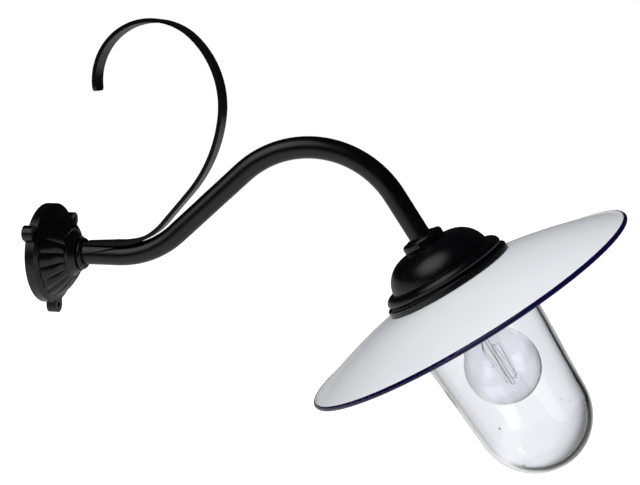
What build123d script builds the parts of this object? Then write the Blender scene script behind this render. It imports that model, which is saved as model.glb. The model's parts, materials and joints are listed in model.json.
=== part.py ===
from build123d import *
import math
import os

# Gooseneck wall sconce: a fluted wall plate, a bent tube arm with a forged scroll strip on top,
# and a head made of a cast cap, a wide enamelled shade, a clear lamp and a screw-in glass jar.
# Millimetres. +X points out of the wall, +Z is up, the origin is the centre of the plate's back.
# The head is drawn on its own axis: its local Z runs from the cap's collar down out of the jar,
# its local X points up and away from the wall. "depth" below is the distance along that axis.

# ---- arm -------------------------------------------------------------------------------------
TUBE_D = 22.0
TUBE_WALL = 1.5
TUBE_START = 22.0           # tube's wall end, inside the plate
ARM_OUT = 79.0              # straight run, measured from the wall
RISE_R = 95.0
RISE_TURN = 42.0
RISE_RUN = 96.0
CROOK_R = 101.0
CROOK_TURN = 98.8
DROP_RUN = 46.0             # straight run down to the cap's collar
SOCKET_DEPTH = 14.0         # tube inside the cap's collar
SLIP = 0.05                 # radial clearance of a tube, peg or screw in its hole
SCREW_PASS = 0.4            # a screw's clearance hole is this much wider than the screw
SCREW_END_GAP = 0.5         # left under a screw's end in its blind hole

# ---- scroll strip ----------------------------------------------------------------------------
STRIP_W = 20.0
STRIP_T = 4.0
FOOT_T = 2.0                # forged saddle that hugs the tube
FOOT_GAP = 1.0              # from the plate's collar to the foot
FOOT_LENGTH = 62.0
FOOT_HUG = 82.0             # half angle of the saddle at the wall end
STRIP_LEAVE_R = 65.0
STRIP_LEAVE_TURN = 39.3
STRIP_RUN = 42.2
STRIP_BOW_R = 142.8
STRIP_BOW_TURN = 34.4
STRIP_CROWN_R = 91.2
STRIP_CROWN_TURN = 52.9
STRIP_CURL_R = 60.9
STRIP_CURL_TURN = 142.0
STRIP_ON_BEND = 9.3         # degrees of the tube's first bend that the strip follows
STRIP_TIP_R = 4.5

# ---- wall plate ------------------------------------------------------------------------------
PLATE_R = 52.0
PLATE_RIM_T = 9.4
PLATE_COVE_X = 12.5
PLATE_WALL = 4.0
LOBES = 18
LOBE_HEIGHT = 2.6
LOBE_FOOT_SHARE = 0.5       # of the lobes' height at their foot
LOBE_TOP_SHARE = 0.7
LOBE_SINK = 0.5
LOBE_FOOT_R = 45.5
LOBE_SHOULDER_X = 21.0
LOBE_SHOULDER_R = 39.0
LOBE_TOP_X = 30.0
LOBE_TOP_R = 27.0
NECK_X = 32.0
NECK_R = 22.0
NECK_END_X = 38.0
NECK_END_R = 18.2
COLLAR_END_X = 43.0
COLLAR_R = 16.6
COLLAR_GROOVE = 1.2
COLLAR_LIP = 1.5
LUG_R = 8.0
LUG_T = 10.4
LUG_CIRCLE_R = 56.0
LUG_COUNT = 3
LUG_HOLE_D = 5.5
CAVITY_R = 44.0
CAVITY_TOP_R = 24.0
CAVITY_TOP_X = 26.0
CAVITY_SIDE_X = 4.0
CAVITY_BOW = 4.0
GRUB_D = 5.0
GRUB_LENGTH = 7.0
GRUB_SOCKET_D = 2.5
GRUB_SOCKET_DEPTH = 2.5

# ---- wiring ----------------------------------------------------------------------------------
WIRE_D = 2.4
WIRE_PITCH = 7.0
WIRE_FIT = 0.1
GROMMET_FLANGE_D = 21.0
GROMMET_FLANGE_T = 1.6
GROMMET_PLUG = 5.0
BLOCK_X = 11.0              # wire entries, from the wall
BLOCK_DEPTH = 12.0
BLOCK_TOP_Z = -14.0
BLOCK_H = 16.0
BLOCK_W = 36.0
BLOCK_FIX_PITCH = 28.0
BLOCK_INSERT_D = 4.4
BLOCK_ENTRY = 4.0
WIRE_BEND_R = 9.0
WIRE_SWAY_R = 10.0          # wires swing sideways over the bracket
WIRE_SWAY_DEPTH = 20.0
PILLAR_D = 6.4
SMALL_SCREW_D = 3.0
SMALL_HEAD_D = 5.6
SMALL_HEAD_T = 1.8
SMALL_SCREW_BITE = 6.0
CLAMP_SCREW_D = 2.2
CLAMP_SCREW_SINK = 0.6
EARTH_Z = 24.0
EARTH_BOSS_D = 9.0
EARTH_BOSS_X = 14.0
EARTH_SCREW_D = 4.0
EARTH_HEAD_D = 8.0
EARTH_HEAD_T = 2.6
EARTH_SCREW_BITE = 8.0

# ---- cap -------------------------------------------------------------------------------------
CAP_COLLAR_R = 21.5
CAP_COLLAR_TOP_R = 17.0
CAP_COLLAR_H = 8.5
CAP_COLLAR_EDGE = 3.4
GRUB_BELOW_EDGE = 1.5
CAP_WAIST_R = 20.8
DOME_TOP = 10.5             # depth of the dome's crown
DOME_ARC_R = 30.0
DOME_ARC_AT_R = 23.5
BEAD_TOP = 37.0
BEAD_R = 63.4
BEAD_END = 46.6
BEAD_BOW = 1.4
GROOVE_R = 61.6
FLANGE_TOP = 47.6
FLANGE_R = 66.4
FLANGE_EDGE = 0.8
CAP_WALL = 3.5
CAP_RIM_WALL = 4.1
SOCKET_LIP = 2.0
SOCKET_WALL = 4.0
HOLDER_SCREW_R = 54.5
HOLDER_SCREWS = 3
HOLDER_BOSS_D = 9.0
BOSS_BITE = 0.5              # of a boss into the cap's wall

# ---- shade -----------------------------------------------------------------------------------
SHADE_R = 176.0
SHADE_COLLAR_DEPTH = 54.0   # upper face at the cap's flange
SHADE_COLLAR_SLOPE = 10.0   # degrees there
SHADE_ARC_R = 594.0         # from there the face bends down along this radius
SHADE_T = 1.2
SHADE_ROLL_D = 4.6
SHADE_SEAT_IN = 5.9         # from the flange's edge in to the flat seat
SHADE_HOLE_IN = 13.0        # and from the seat's edge to the hole
GASKET_T = 1.0
SHADE_GASKET_W = 4.5

# ---- glass holder and jar --------------------------------------------------------------------
HOLDER_FLANGE_T = 2.5
HOLDER_EDGE_IN = 1.5        # from the seat's edge
HOLDER_WALL = 2.9
HOLDER_SKIRT = 17.0
HOLDER_LIP_R = 40.0
HOLDER_SCREW_D = 4.0
HOLDER_HEAD_D = 7.0
HOLDER_HEAD_T = 2.4
HOLDER_SCREW_BITE = 6.0
JAR_NECK_R = 44.0
JAR_NECK_WALL = 3.5
JAR_THREAD = 1.6
JAR_PITCH = 6.0
JAR_THREAD_W = 2.4
JAR_THREAD_TURNS = 1.4
JAR_THREAD_GAP = 0.5
JAR_NECK_H = 19.0
JAR_SHOULDER_R = 65.5
JAR_SHOULDER_H = 13.0
JAR_TAPER = 3.6
JAR_BOWL_DEPTH = 208.0      # depth of the round bottom's centre
JAR_WALL = 5.0
JAR_GASKET_T = 2.0
REST_GAP = 0.3              # between a turning piece and its neighbour

# ---- lampholder ------------------------------------------------------------------------------
BRACKET_DEPTH = 46.0
BRACKET_T = 1.5
BRACKET_W = 16.0
BRACKET_SCREW_R = 34.0
BRACKET_END = 5.5
BRACKET_BOSS_D = 9.0
BRACKET_SCREW_D = 4.0
BRACKET_HEAD_D = 7.0
BRACKET_HEAD_T = 2.4
BRACKET_SCREW_BITE = 8.0
BODY_R = 21.0
BODY_H = 40.0
BODY_FLOOR = 15.5           # from the body's top to the floor of the lamp bore
BODY_FIX_R = 13.0
BODY_SCREW_BITE = 9.0
SHELL_T = 0.6
SHELL_H = 22.5
SHELL_FLANGE_R = 9.5
TERMINAL_X = 13.0
TERMINAL_L = 6.6
TERMINAL_W = 5.6
TERMINAL_H = 8.0
TERMINAL_FIT = 0.15
WIRE_IN_TERMINAL = 5.0
TERMINAL_SCREW_D = 2.8
TERMINAL_SINK = 3.0          # terminals below the body's top
LEAF_T = 0.5
LEAF_W = 6.0
LEAF_BACK = 7.0             # leaf from the axis to its riveted end
LEAF_FRONT = 6.0            # and to its bend
LEAF_RISE = 3.5
RIVET_D = 3.0
RIVET_HEAD_D = 5.0
RIVET_HEAD_T = 0.5
EARTH_TAB_W = 9.0
EARTH_TAB_X = 26.0          # earth screw from the axis
EARTH_LUG_T = 0.8
EARTH_BARREL_WALL = 0.7
EARTH_BARREL_H = 6.0
EARTH_NUT_W = 7.0
EARTH_NUT_H = 3.2

# ---- lamp ------------------------------------------------------------------------------------
LAMP_PITCH = 3.62
LAMP_CAP_R = 12.0
LAMP_THREAD = 1.1
LAMP_THREAD_W = 1.5
LAMP_THREAD_GAP = 0.5
LAMP_THREAD_TURNS = 3.0
LAMP_CAP_T = 0.4
LAMP_CAP_H = 22.0
LAMP_CONTACT_GAP = 0.1
LAMP_CONTACT_R = 4.6
LAMP_CONTACT_T = 1.5
LAMP_INSULATOR_H = 4.5
LAMP_BALL_R = 37.8
LAMP_NECK_H = 6.5           # straight neck between the drawn part and the flare
LAMP_NECK_R = 17.0
LAMP_FLARE = 31.0
LAMP_GLASS_T = 0.8
LAMP_NECK_DRAW = 6.0
STEM_ROD_D = 4.2
STEM_ROD_END = 21.0         # rod's end beyond the ball's centre
STEM_PRESS_UP = 38.0        # press, above the ball's centre
STEM_PRESS_H = 4.0
STEM_TUBE_R = 4.0
STEM_FLARE_H = 10.0
LEAD_D = 0.8
FILAMENT_D = 0.4
FILAMENT_R = 9.0
FILAMENT_RUNS = 8
FILAMENT_SPREAD = 300.0     # degrees round the rod
FILAMENT_UP = 22.0          # hooks above the ball's centre
FILAMENT_DOWN = 15.0        # and below it
SUPPORT_D = 0.5

# ---- what follows from them ------------------------------------------------------------------
tube_r = TUBE_D / 2
bore_r = tube_r - TUBE_WALL
wire_r = WIRE_D / 2
wire_rows = (-WIRE_PITCH, 0.0, WIRE_PITCH)


def route(start, heading, *moves):
    """Joined edges in the XY plane: a number is a straight run, a pair a radius and a turn."""
    point = Vector(*start)
    tangent = Vector(1, 0).rotate(Axis.Z, heading)
    edges = []
    for move in moves:
        if isinstance(move, tuple):
            edge = JernArc(point, tangent, *move)
        else:
            edge = Line(point, point + tangent * move)
        edges.append(edge)
        point = edge @ 1
        tangent = edge % 1
    return edges


def upright(edges, y=0.0):
    """Edges drawn in XY, stood up in the plane of the arm at a distance y from it."""
    return Curve() + [Plane.XZ.offset(-y) * edge for edge in edges]


def end_of(edges):
    return edges[-1] @ 1, edges[-1] % 1


def square_to(path):
    """Plane across the start of a path, its local X along the world's Y."""
    return Plane(path @ 0, x_dir=(0, 1, 0), z_dir=path % 0)


def lathe(*edges):
    """Turned solid: the outline lies in XZ, with X the radius and Z the depth."""
    return revolve(make_face(Curve() + list(edges)), Axis.Z)


def outline(*points):
    """Turned solid from straight lines through (radius, depth) points."""
    return lathe(Polyline(*[(r, 0, z) for r, z in points], close=True))


def rod(d, start, length, direction=(0, 0, 1)):
    """Round bar from a point along a direction."""
    return Plane(start, z_dir=direction) * extrude(Circle(d / 2), length)


def pan_screw(d, head_d, head_t, length):
    """Slotted screw: its head is above Z = 0, its shank goes down."""
    body = rod(d, (0, 0, -length), length) + rod(head_d, (0, 0, 0), head_t)
    slot = Pos(0, 0, head_t) * Box(head_d, head_d * 0.16, head_t)
    return body - slot


def grub_screw():
    """Headless screw with a hexagon socket at its top, from Z = 0 up."""
    body = rod(GRUB_D, (0, 0, 0), GRUB_LENGTH)
    socket = extrude(RegularPolygon(GRUB_SOCKET_D / 2, 6, major_radius=False), GRUB_SOCKET_DEPTH)
    return body - Pos(0, 0, GRUB_LENGTH - GRUB_SOCKET_DEPTH) * socket


def thread_ridge(root_r, height, width, pitch, turns, start, inside=False):
    """One helical ridge standing on a cylinder, or hanging inside it, from a depth on."""
    sink = 0.2 * height
    foot = root_r + sink if inside else root_r - sink
    crest = root_r - height if inside else root_r + height
    path = Helix(pitch, pitch * turns, root_r, center=(0, 0, start))
    tooth = Polyline((foot, 0, start - width / 2), (crest, 0, start - width / 4),
                     (crest, 0, start + width / 4), (foot, 0, start + width / 2), close=True)
    return sweep(make_face(tooth), path=path, is_frenet=True)


# ---- arm and head axes -----------------------------------------------------------------------
arm_moves = (ARM_OUT - TUBE_START, (RISE_R, RISE_TURN), RISE_RUN, (CROOK_R, -CROOK_TURN), DROP_RUN)
arm_edges = route((TUBE_START, 0), 0, *arm_moves)
collar_point, head_heading = end_of(arm_edges)
head_axis = Vector(head_heading.X, 0, head_heading.Y)
head_origin = Vector(collar_point.X, 0, collar_point.Y)
HEAD = Plane(head_origin, x_dir=(-head_axis.Z, 0, head_axis.X), z_dir=head_axis)


def on_head(solid):
    return HEAD.location * solid


os.makedirs("parts", exist_ok=True)
nodes = {}


def keep(name, solid):
    solid.label = name
    nodes[name] = solid
    export_step(solid, "parts/" + name + ".step")


# ---- arm tube --------------------------------------------------------------------------------
tube_path = upright(route((TUBE_START, 0), 0, *arm_moves, SOCKET_DEPTH))
keep("arm_tube", sweep(square_to(tube_path) * (Circle(tube_r) - Circle(bore_r)), path=tube_path))

# ---- scroll strip ----------------------------------------------------------------------------
# It lies on the tube from the plate's collar, follows the first part of the bend and curls back.
foot_start = COLLAR_END_X + FOOT_GAP
strip_line_r = RISE_R - tube_r - STRIP_T / 2
strip_edges = route((foot_start, tube_r + STRIP_T / 2), 0, ARM_OUT - foot_start,
                    (strip_line_r, STRIP_ON_BEND), (STRIP_LEAVE_R, STRIP_LEAVE_TURN), STRIP_RUN,
                    (STRIP_BOW_R, STRIP_BOW_TURN), (STRIP_CROWN_R, STRIP_CROWN_TURN),
                    (STRIP_CURL_R, STRIP_CURL_TURN))
strip_path = upright(strip_edges)
strip = sweep(square_to(strip_path) * Rectangle(STRIP_W, STRIP_T), path=strip_path)

# the wall end is forged down to the foot's thickness
taper = math.degrees(math.atan((STRIP_T - FOOT_T) / (ARM_OUT - foot_start)))
above = Align.MIN
shaving = Pos(foot_start, 0, tube_r + FOOT_T) * Rot(0, -taper, 0) * Pos(-STRIP_T, 0, 0) * Box(
    ARM_OUT - foot_start, 2 * STRIP_W, 2 * STRIP_T, align=(Align.MIN, Align.CENTER, above))
strip -= shaving

# rounded tip
tip, tip_heading = end_of(strip_edges)
tip_plane = Plane(Vector(tip.X, 0, tip.Y), x_dir=(0, 1, 0),
                  z_dir=Vector(-tip_heading.Y, 0, tip_heading.X))
tip_cut = Rectangle(2 * STRIP_W, 2 * STRIP_TIP_R)
tip_cut -= RectangleRounded(STRIP_W, 8 * STRIP_TIP_R, STRIP_TIP_R).moved(
    Location((0, 4 * STRIP_TIP_R * math.copysign(1, tip_plane.y_dir.dot(
        Vector(-tip_heading.X, 0, -tip_heading.Y))), 0)))
strip -= extrude(tip_plane * tip_cut, STRIP_T, both=True)

# saddle: a slice of a wider tube over the arm, cut along a slope on each side
saddle_r = tube_r + FOOT_T
saddle_turn = math.degrees((foot_start + FOOT_LENGTH - ARM_OUT) / RISE_R)
saddle_path = upright(route((foot_start, 0), 0, ARM_OUT - foot_start, (RISE_R, saddle_turn)))
saddle = sweep(square_to(saddle_path) * (Circle(saddle_r) - Circle(tube_r + SLIP)),
               path=saddle_path)
hug_z = tube_r * math.cos(math.radians(FOOT_HUG))
saddle_end = saddle_path @ 1
slope = math.degrees(math.atan2(saddle_end.Z + tube_r - hug_z, saddle_end.X - foot_start))
under = Pos(foot_start, 0, hug_z) * Rot(0, -slope, 0) * Box(
    4 * FOOT_LENGTH, 4 * tube_r, 4 * tube_r, align=(Align.CENTER, Align.CENTER, Align.MAX))
keep("scroll_strip", strip + (saddle - under))

# ---- wall plate ------------------------------------------------------------------------------
# Turned about Z first, then laid over so that Z runs out of the wall.
OUT_OF_WALL = Plane((0, 0, 0), x_dir=(0, 1, 0), z_dir=(1, 0, 0))


def lobed_ring(radius, crest):
    """Closed outline of round lobes, one of them facing along local -X."""
    step = 360 / LOBES
    arcs = []
    for lobe in range(LOBES):
        at = 180 + lobe * step
        edges = [Vector(radius, 0).rotate(Axis.Z, at + side * step / 2) for side in (-1, 1)]
        arcs.append(ThreePointArc(edges[0], Vector(crest, 0).rotate(Axis.Z, at), edges[1]))
    return make_face(Curve() + arcs)


lobe_rows = ((PLATE_COVE_X, LOBE_FOOT_R, LOBE_FOOT_SHARE), (LOBE_SHOULDER_X, LOBE_SHOULDER_R, 1),
             (LOBE_TOP_X, LOBE_TOP_R, LOBE_TOP_SHARE))
lobed = loft([Pos(0, 0, x) * lobed_ring(r - LOBE_HEIGHT * share, r) for x, r, share in lobe_rows])
plate = lathe(Polyline((0, 0, 0), (PLATE_R, 0, 0), (PLATE_R, 0, PLATE_RIM_T)),
              Polyline((PLATE_R, 0, PLATE_RIM_T), (LOBE_FOOT_R - LOBE_HEIGHT, 0, PLATE_COVE_X),
                       (LOBE_FOOT_R - LOBE_HEIGHT, 0, PLATE_COVE_X + LOBE_SINK),
                       (0, 0, PLATE_COVE_X + LOBE_SINK),
                       (0, 0, 0)))
plate += lobed
neck = lathe(Polyline((0, 0, LOBE_TOP_X - 1), (LOBE_TOP_R - LOBE_HEIGHT, 0, LOBE_TOP_X - 1),
                      (LOBE_TOP_R - LOBE_HEIGHT, 0, LOBE_TOP_X), (NECK_R, 0, NECK_X),
                      (NECK_END_R, 0, NECK_END_X), (COLLAR_R - COLLAR_GROOVE, 0, NECK_END_X)),
             ThreePointArc((COLLAR_R - COLLAR_GROOVE, 0, NECK_END_X),
                           (COLLAR_R, 0, NECK_END_X + 0.4 * (COLLAR_END_X - NECK_END_X)),
                           (tube_r + COLLAR_LIP, 0, COLLAR_END_X)),
             Polyline((tube_r + COLLAR_LIP, 0, COLLAR_END_X), (0, 0, COLLAR_END_X),
                      (0, 0, LOBE_TOP_X - 1)))
plate += neck

lug_angles = [-90 + lug * 360 / LUG_COUNT for lug in range(LUG_COUNT)]
for angle in lug_angles:
    spot = Rot(0, 0, angle) * Pos(LUG_CIRCLE_R, 0, 0)
    lug = spot * extrude(Circle(LUG_R), LUG_T)
    web = Rot(0, 0, angle) * Pos(LUG_CIRCLE_R - LUG_R, 0, 0) * Box(
        2 * LUG_R, 2 * LUG_R, LUG_T, align=(Align.CENTER, Align.CENTER, Align.MIN))
    plate += lug + web

# hollow behind, with pillars for the terminal block and a boss for the earth screw
cavity = lathe(Polyline((0, 0, -1), (CAVITY_R, 0, -1), (CAVITY_R, 0, CAVITY_SIDE_X)),
               ThreePointArc((CAVITY_R, 0, CAVITY_SIDE_X),
                             ((CAVITY_R + CAVITY_TOP_R) / 2 + CAVITY_BOW, 0,
                              (CAVITY_SIDE_X + CAVITY_TOP_X + CAVITY_BOW) / 2),
                             (CAVITY_TOP_R, 0, CAVITY_TOP_X)),
               Polyline((CAVITY_TOP_R, 0, CAVITY_TOP_X), (0, 0, CAVITY_TOP_X), (0, 0, -1)))
sleeve = rod(2 * (tube_r + PLATE_WALL), (0, 0, TUBE_START), COLLAR_END_X - TUBE_START)
block_x = BLOCK_X - BLOCK_DEPTH / 2
block_front = block_x + BLOCK_DEPTH
block_mid_z = BLOCK_TOP_Z - BLOCK_H / 2
pillar_spots = [(side * BLOCK_FIX_PITCH / 2, block_mid_z) for side in (-1, 1)]
plate = plate - (cavity - sleeve)
pillar_top = CAVITY_TOP_X + 1
for across, up in pillar_spots:
    plate += rod(PILLAR_D, (across, up, block_front), pillar_top - block_front)
plate += rod(EARTH_BOSS_D, (0, EARTH_Z, EARTH_BOSS_X), pillar_top - EARTH_BOSS_X)
plate -= rod(2 * (tube_r + SLIP), (0, 0, TUBE_START - 1), COLLAR_END_X)
for across, up in pillar_spots:
    plate -= rod(SMALL_SCREW_D + 2 * SLIP, (across, up, block_front),
                 SMALL_SCREW_BITE + SCREW_END_GAP)
plate -= rod(EARTH_SCREW_D + 2 * SLIP, (0, EARTH_Z, EARTH_BOSS_X), EARTH_SCREW_BITE)
for angle in lug_angles:
    plate -= Rot(0, 0, angle) * rod(LUG_HOLE_D, (LUG_CIRCLE_R, 0, -1), LUG_T + 2)
grub_x = (NECK_X + NECK_END_X) / 2
grub_place = Pos(0, -(tube_r + SLIP), grub_x) * Rot(90, 0, 0)
plate -= grub_place * rod(GRUB_D + 2 * SLIP, (0, 0, -1), 2 * NECK_R)
keep("wall_plate", OUT_OF_WALL.location * plate)
keep("plate_grub_screw", OUT_OF_WALL.location * (grub_place * grub_screw()))

earth_screw = Pos(0, EARTH_Z, EARTH_BOSS_X) * Rot(180, 0, 0) * pan_screw(
    EARTH_SCREW_D, EARTH_HEAD_D, EARTH_HEAD_T, EARTH_SCREW_BITE)
keep("plate_earth_screw", OUT_OF_WALL.location * earth_screw)

# ---- terminal block in the plate -------------------------------------------------------------
insert_r = BLOCK_INSERT_D / 2
clamp_r = CLAMP_SCREW_D / 2
block = Pos(0, block_mid_z, block_x) * Box(BLOCK_W, BLOCK_H, BLOCK_DEPTH,
                                           align=(Align.CENTER, Align.CENTER, Align.MIN))
inserts = []
clamps = []
clamp_spots = [(across, block_mid_z + side * BLOCK_H / 4) for across in wire_rows
               for side in (-1, 1)]
for across in wire_rows:
    lane = rod(BLOCK_INSERT_D, (across, block_mid_z - BLOCK_H / 2, BLOCK_X), BLOCK_H, (0, 1, 0))
    block -= lane
    inserts.append(lane - rod(WIRE_D + 2 * WIRE_FIT, (across, block_mid_z - BLOCK_H, BLOCK_X),
                              2 * BLOCK_H, (0, 1, 0)))
clamp_start = block_x + CLAMP_SCREW_SINK
clamp_end = BLOCK_X - wire_r
for across, up in clamp_spots:
    hole = rod(CLAMP_SCREW_D + 2 * SLIP, (across, up, block_x - 1), 1 + BLOCK_X - block_x)
    block -= hole
    inserts = [insert - hole for insert in inserts]
    clamps.append(rod(CLAMP_SCREW_D, (across, up, clamp_start), clamp_end - clamp_start))
for across, up in pillar_spots:
    block -= rod(SMALL_SCREW_D + 2 * SLIP, (across, up, block_x - 1), BLOCK_DEPTH + 2)
    block -= rod(SMALL_HEAD_D + 2 * SLIP, (across, up, block_x - 1), 1 + SMALL_HEAD_T)
keep("terminal_block", OUT_OF_WALL.location * block)
keep("terminal_inserts", OUT_OF_WALL.location * Compound(children=inserts))
keep("terminal_clamp_screws", OUT_OF_WALL.location * Compound(children=clamps))
block_screws = [Pos(across, up, block_x + SMALL_HEAD_T) * Rot(180, 0, 0) * pan_screw(
    SMALL_SCREW_D, SMALL_HEAD_D, SMALL_HEAD_T, BLOCK_DEPTH - SMALL_HEAD_T + SMALL_SCREW_BITE)
    for across, up in pillar_spots]
keep("terminal_block_screws", OUT_OF_WALL.location * Compound(children=block_screws))

# ---- cap -------------------------------------------------------------------------------------
collar_turn = math.radians(SHADE_COLLAR_SLOPE)
slope_tan = math.tan(collar_turn)
slope_cos = math.cos(collar_turn)
slope_sin = math.sin(collar_turn)
seat_r = FLANGE_R - SHADE_SEAT_IN


def shade_top(radius):
    """Depth of the shade's upper face at a radius under the flange."""
    return SHADE_COLLAR_DEPTH - (FLANGE_R - radius) * slope_tan


seat_depth = shade_top(seat_r)
gasket_rise = GASKET_T / slope_cos
dome_centre = DOME_TOP + DOME_ARC_R
dome_foot_r = DOME_ARC_AT_R + math.sqrt(DOME_ARC_R ** 2 - (dome_centre - BEAD_TOP) ** 2)
bead_mid = BEAD_TOP + 0.55 * (BEAD_END - BEAD_TOP)
collar_top_edge = 0.4 * CAP_COLLAR_EDGE
collar_foot_edge = 1.4 * CAP_COLLAR_EDGE
collar_bow = (CAP_COLLAR_R - 0.3 * CAP_COLLAR_EDGE, 0, 0.75 * CAP_COLLAR_EDGE)
flange_foot = shade_top(FLANGE_R) - gasket_rise
cap_outside = lathe(
    Polyline((0, 0, 0), (CAP_COLLAR_TOP_R - CAP_COLLAR_EDGE, 0, 0),
             (CAP_COLLAR_TOP_R, 0, collar_top_edge)),
    ThreePointArc((CAP_COLLAR_TOP_R, 0, collar_top_edge), collar_bow,
                  (CAP_COLLAR_R, 0, collar_foot_edge)),
    Polyline((CAP_COLLAR_R, 0, collar_foot_edge), (CAP_COLLAR_R, 0, CAP_COLLAR_H),
             (CAP_WAIST_R, 0, DOME_TOP), (DOME_ARC_AT_R, 0, DOME_TOP)),
    ThreePointArc((DOME_ARC_AT_R, 0, DOME_TOP),
                  (DOME_ARC_AT_R + DOME_ARC_R * math.sin(math.radians(45)), 0,
                   dome_centre - DOME_ARC_R * math.cos(math.radians(45))),
                  (dome_foot_r, 0, BEAD_TOP)),
    ThreePointArc((dome_foot_r, 0, BEAD_TOP), (0.25 * dome_foot_r + 0.75 * BEAD_R, 0,
                                              BEAD_TOP + BEAD_BOW), (BEAD_R, 0, bead_mid)),
    ThreePointArc((BEAD_R, 0, bead_mid), (0.25 * GROOVE_R + 0.75 * BEAD_R, 0,
                                          0.4 * bead_mid + 0.6 * BEAD_END), (GROOVE_R, 0, BEAD_END)),
    Polyline((GROOVE_R, 0, BEAD_END), (GROOVE_R, 0, FLANGE_TOP),
             (FLANGE_R - FLANGE_EDGE, 0, FLANGE_TOP), (FLANGE_R, 0, FLANGE_TOP + FLANGE_EDGE),
             (FLANGE_R, 0, flange_foot),
             (seat_r, 0, seat_depth - gasket_rise), (0, 0, seat_depth - gasket_rise),
             (0, 0, 0)))
inner_arc_r = DOME_ARC_R - CAP_WALL
cap_bore_r = GROOVE_R - CAP_RIM_WALL
cap_inside = lathe(
    Polyline((0, 0, DOME_TOP + CAP_WALL), (DOME_ARC_AT_R, 0, DOME_TOP + CAP_WALL)),
    ThreePointArc((DOME_ARC_AT_R, 0, DOME_TOP + CAP_WALL),
                  (DOME_ARC_AT_R + inner_arc_r * math.sin(math.radians(40)), 0,
                   dome_centre - inner_arc_r * math.cos(math.radians(40))),
                  (DOME_ARC_AT_R + inner_arc_r * math.sin(math.radians(80)), 0,
                   dome_centre - inner_arc_r * math.cos(math.radians(80)))),
    Polyline((DOME_ARC_AT_R + inner_arc_r * math.sin(math.radians(80)), 0,
              dome_centre - inner_arc_r * math.cos(math.radians(80))),
             (cap_bore_r, 0, bead_mid), (cap_bore_r, 0, seat_depth), (0, 0, seat_depth),
             (0, 0, DOME_TOP + CAP_WALL)))
socket_sleeve = rod(2 * (tube_r + SOCKET_WALL), (0, 0, 0), SOCKET_DEPTH + SOCKET_LIP)
cap = cap_outside - (cap_inside - socket_sleeve)
holder_spots = [360 / HOLDER_SCREWS * step + 90 for step in range(HOLDER_SCREWS)]
boss_roof = dome_centre - inner_arc_r * math.cos(math.radians(60))
for angle in holder_spots:
    boss = rod(HOLDER_BOSS_D, (HOLDER_SCREW_R, 0, boss_roof), seat_depth - boss_roof)
    cap += Rot(0, 0, angle) * (boss & cap_outside & outline(
        (0, boss_roof), (FLANGE_R, boss_roof), (cap_bore_r + BOSS_BITE, seat_depth), (0, seat_depth)))
bracket_spots = [(0, side * BRACKET_SCREW_R) for side in (-1, 1)]
bracket_roof = DOME_TOP + CAP_WALL + 1
for x, y in bracket_spots:
    cap += rod(BRACKET_BOSS_D, (x, y, bracket_roof), BRACKET_DEPTH - bracket_roof)
cap -= rod(2 * (tube_r + SLIP), (0, 0, -1), SOCKET_DEPTH + 1)
cap -= rod(2 * bore_r, (0, 0, 0), SOCKET_DEPTH + SOCKET_LIP + 1)
for angle in holder_spots:
    cap -= Rot(0, 0, angle) * rod(HOLDER_SCREW_D + 2 * SLIP, (
        HOLDER_SCREW_R, 0, seat_depth - HOLDER_SCREW_BITE), HOLDER_SCREW_BITE + 1)
for x, y in bracket_spots:
    cap -= rod(BRACKET_SCREW_D + 2 * SLIP, (x, y, BRACKET_DEPTH - BRACKET_SCREW_BITE),
               BRACKET_SCREW_BITE + 1)
cap_grub_depth = collar_foot_edge + GRUB_BELOW_EDGE
cap_grub_place = Pos(0, tube_r + SLIP, cap_grub_depth) * Rot(-90, 0, 0)
cap -= cap_grub_place * rod(GRUB_D + 2 * SLIP, (0, 0, -1), 2 * CAP_COLLAR_R)
keep("cap", on_head(cap))
keep("cap_grub_screw", on_head(cap_grub_place * grub_screw()))

# ---- shade and its gasket --------------------------------------------------------------------
roll_r = SHADE_ROLL_D / 2
roll_at_r = SHADE_R - roll_r
roll_join_r = roll_at_r - roll_r / 2
hole_r = seat_r - SHADE_HOLE_IN
arc_centre_r = FLANGE_R - SHADE_ARC_R * slope_sin
arc_centre_depth = SHADE_COLLAR_DEPTH + SHADE_ARC_R * slope_cos
join_turn = math.asin((roll_join_r - arc_centre_r) / SHADE_ARC_R)
roll_turn = math.asin((roll_at_r - arc_centre_r) / (SHADE_ARC_R - SHADE_T / 2))
roll_depth = arc_centre_depth - (SHADE_ARC_R - SHADE_T / 2) * math.cos(roll_turn)


def shade_arc(under, start, end):
    """Arc of the shade's profile, at a distance under its upper face."""
    reach = SHADE_ARC_R - under
    return ThreePointArc(*[(arc_centre_r + reach * math.sin(turn), 0,
                            arc_centre_depth - reach * math.cos(turn))
                           for turn in (start, (start + end) / 2, end)])


upper = shade_arc(0, collar_turn, join_turn)
lower = shade_arc(SHADE_T, join_turn, collar_turn)
under_bend_r = seat_r - SHADE_T * (1 - slope_cos) / slope_sin
shade = lathe(Polyline((hole_r, 0, seat_depth), (seat_r, 0, seat_depth), upper @ 0), upper,
              Line(upper @ 1, lower @ 0), lower,
              Polyline(lower @ 1, (under_bend_r, 0, seat_depth + SHADE_T),
                       (hole_r, 0, seat_depth + SHADE_T), (hole_r, 0, seat_depth)))
shade += revolve(Plane.XZ * Pos(roll_at_r, roll_depth) * Circle(roll_r), Axis.Z)
for angle in holder_spots:
    shade -= Rot(0, 0, angle) * rod(HOLDER_SCREW_D + SCREW_PASS, (
        HOLDER_SCREW_R, 0, seat_depth - 1), SHADE_T + 2)
keep("shade", on_head(shade))
gasket_in = FLANGE_R - SHADE_GASKET_W
keep("shade_gasket", on_head(outline(
    (gasket_in, shade_top(gasket_in) - gasket_rise), (FLANGE_R, shade_top(FLANGE_R) - gasket_rise),
    (FLANGE_R, shade_top(FLANGE_R)), (gasket_in, shade_top(gasket_in)))))

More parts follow.
